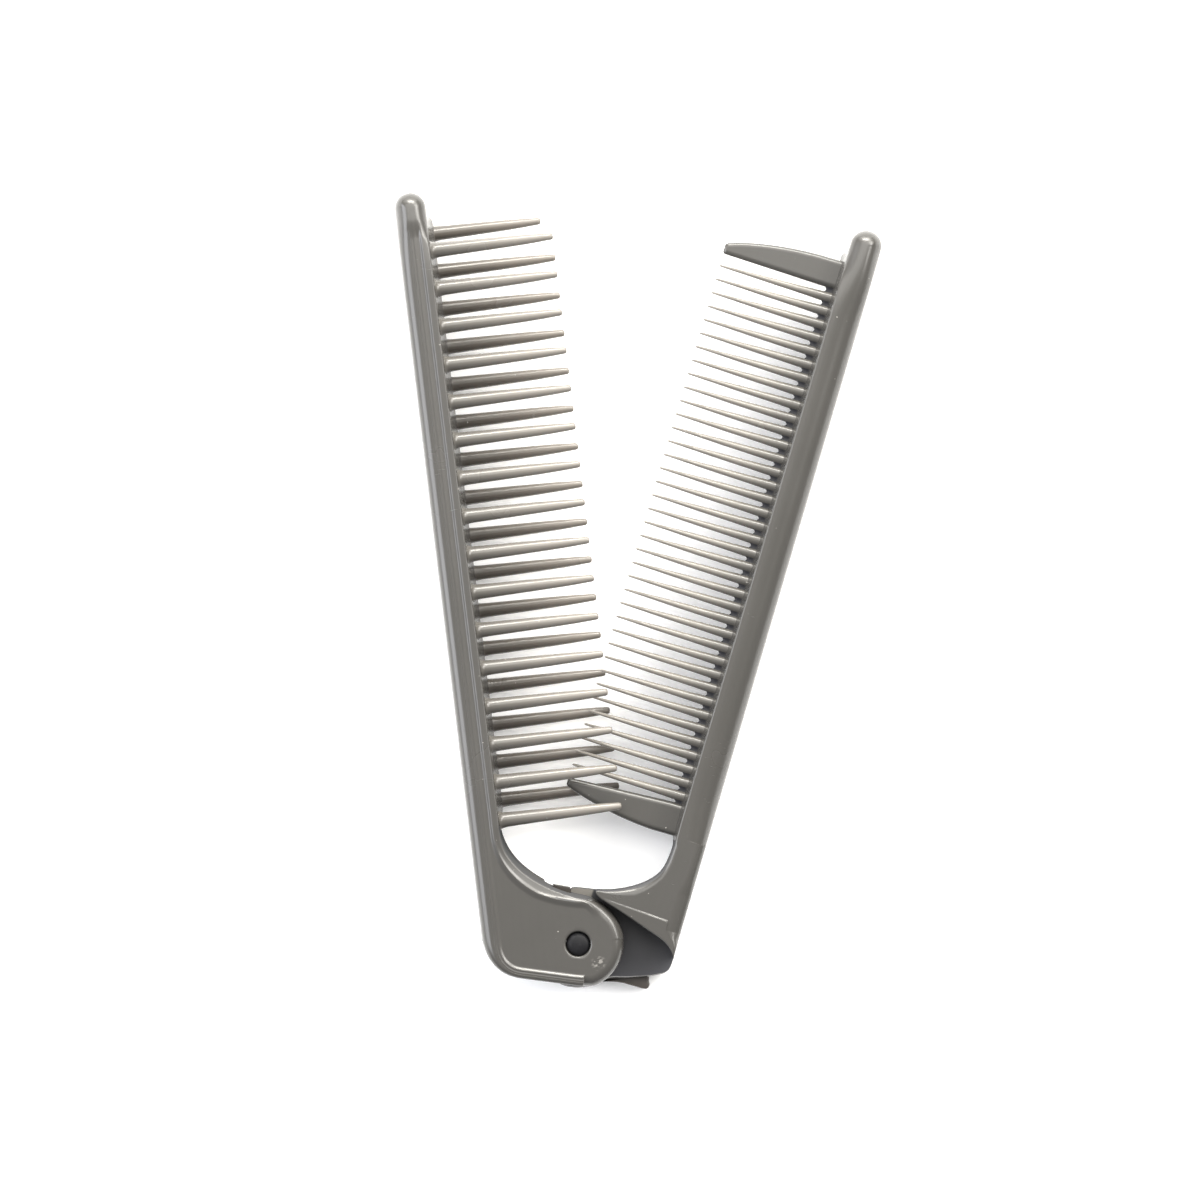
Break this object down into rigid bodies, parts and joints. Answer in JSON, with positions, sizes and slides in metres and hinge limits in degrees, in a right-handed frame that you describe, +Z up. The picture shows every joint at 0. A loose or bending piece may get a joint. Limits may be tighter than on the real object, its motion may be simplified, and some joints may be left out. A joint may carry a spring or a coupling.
{
  "type": "folding comb",
  "caption": "Flat folding travel comb: thick round teeth on one half and fine teeth on the other, turning on a pin at the foot so that the fine teeth close between the thick ones.",
  "frame": {"origin": "centre of the bounding box on the plane that the comb lies on", "axes": "+Y up along the spine of the half with thick teeth, +X toward the open half, +Z up out of the face that is seen"},
  "size_m": [0.0628, 0.1074, 0.011],
  "materials": {
    "brush_plastic": "warm grey moulded plastic, satin",
    "comb_plastic": "warm grey moulded plastic, satin",
    "pin_metal": "dark, smooth"
  },
  "bodies": {
    "brush": {"brush_half": "brush_plastic"},
    "comb": {"comb_half": "comb_plastic", "hinge_pin": "pin_metal"}
  },
  "joints": [
    {"name": "fold", "type": "hinge", "parent": "brush", "child": "comb", "pos_m": [-0.01892, -0.04655, 0.0055], "axis": [0, 0, -1], "range_deg": [-23.23, 156.77]}
  ]
}
